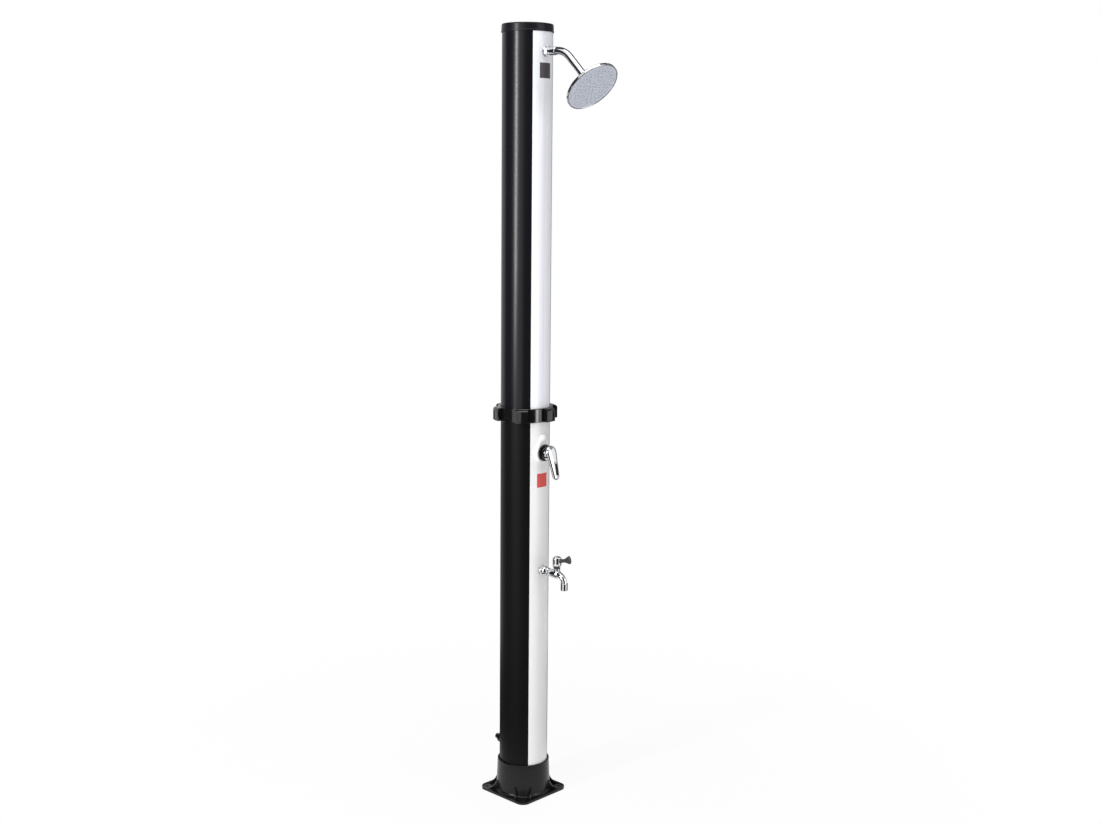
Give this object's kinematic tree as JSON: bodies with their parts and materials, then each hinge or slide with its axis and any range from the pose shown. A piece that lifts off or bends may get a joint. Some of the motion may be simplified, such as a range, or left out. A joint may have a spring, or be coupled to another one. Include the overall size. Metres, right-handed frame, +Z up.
{
  "type": "outdoor solar shower post",
  "caption": "Free-standing black tubular shower post on a square foot, with an overhead shower, single-lever mixer and foot tap on a white front strip.",
  "frame": {"origin": "centre of the four ground bolts, at the ground under the foot", "axes": "+Z up along the tube, -Y out of the front, where the head, lever and tap point, +X to the right of someone who faces the front"},
  "size_m": [0.184, 0.4045, 2.17],
  "materials": {
    "satin_black_plastic": "satin black moulding",
    "tube_black_plastic": "satin black extrusion",
    "white_plastic": "smooth white",
    "gloss_black_plastic": "polished black",
    "black_rubber": "soft black",
    "grey_rubber": "soft grey",
    "grey_plastic": "blue-grey",
    "white_bearing": "natural acetal",
    "pipe_plastic": "natural pipe",
    "chrome": "polished chrome",
    "brass": "machined brass",
    "steel": "stainless"
  },
  "bodies": {
    "post": {"base_flange": "satin_black_plastic", "lower_tube": "tube_black_plastic", "upper_tube": "tube_black_plastic", "lower_front_strip": "white_plastic", "upper_front_strip": "white_plastic", "bottom_plug": "satin_black_plastic", "lower_coupling": "satin_black_plastic", "coupling_oring": "black_rubber", "upper_coupling": "satin_black_plastic", "top_cap": "satin_black_plastic", "shower_arm": "chrome", "arm_rosette": "chrome", "arm_nut": "chrome", "arm_backnut": "brass", "arm_elbow": "brass", "swivel_ball": "chrome", "mixer_saddle": "white_plastic", "mixer_body": "brass", "mixer_cartridge": "white_bearing", "cartridge_cover": "gloss_black_plastic", "mixer_ring_nut": "gloss_black_plastic", "tap_rosette": "chrome", "tap_body": "chrome", "tap_nozzle": "chrome", "tap_backnut": "brass", "tap_tee": "brass", "inlet_gasket": "black_rubber", "inlet_fitting": "chrome", "hose_nipple": "gloss_black_plastic", "inlet_backnut": "brass", "drain_seal": "black_rubber", "cold_upper_pipe": "pipe_plastic", "riser_pipe": "pipe_plastic", "hot_pipe": "pipe_plastic", "cold_lower_pipe": "pipe_plastic"},
    "ring_nut": {"ring_nut": "gloss_black_plastic"},
    "head_socket": {"ball_seat": "white_bearing"},
    "head": {"ball_nut": "chrome", "head_shell": "chrome", "head_face": "grey_plastic", "head_nozzles": "grey_rubber"},
    "mixer_rotor": {"cartridge_rotor": "white_bearing"},
    "mixer_lever": {"lever_stem": "brass", "mixer_lever": "chrome", "lever_screw": "steel"},
    "tap_top": {"tap_spindle": "brass", "tap_cap": "chrome", "tap_handle": "gloss_black_plastic", "tap_handle_screw": "steel"},
    "drain_plug": {"drain_plug": "satin_black_plastic"}
  },
  "joints": [
    {"name": "ring_nut_turn", "type": "hinge", "parent": "post", "child": "ring_nut", "pos_m": [0, 0, 1.1145], "axis": [0, 0, 1], "range_deg": [0, 360]},
    {"name": "head_tilt", "type": "hinge", "parent": "post", "child": "head_socket", "pos_m": [0, -0.21497, 2.02067], "axis": [1, 0, 0], "range_deg": [-15, 15]},
    {"name": "head_pan", "type": "hinge", "parent": "head_socket", "child": "head", "pos_m": [0, -0.21497, 2.02067], "axis": [0, 0.6947, -0.7193], "range_deg": [-15, 15]},
    {"name": "mix_temperature", "type": "hinge", "parent": "post", "child": "mixer_rotor", "pos_m": [0, -0.086, 1.009], "axis": [0, -1, 0], "range_deg": [-50, 50]},
    {"name": "mix_flow", "type": "hinge", "parent": "mixer_rotor", "child": "mixer_lever", "pos_m": [0, -0.086, 1.009], "axis": [-1, 0, 0], "range_deg": [0, 22]},
    {"name": "tap_handle_turn", "type": "hinge", "parent": "post", "child": "tap_top", "pos_m": [0, -0.1285, 0.7045], "axis": [0, 0, 1], "range_deg": [0, 90]},
    {"name": "drain_plug_turn", "type": "hinge", "parent": "post", "child": "drain_plug", "pos_m": [0.04821, 0.05745, 0.122], "axis": [0.6428, 0.766, 0], "range_deg": [0, 360]}
  ]
}
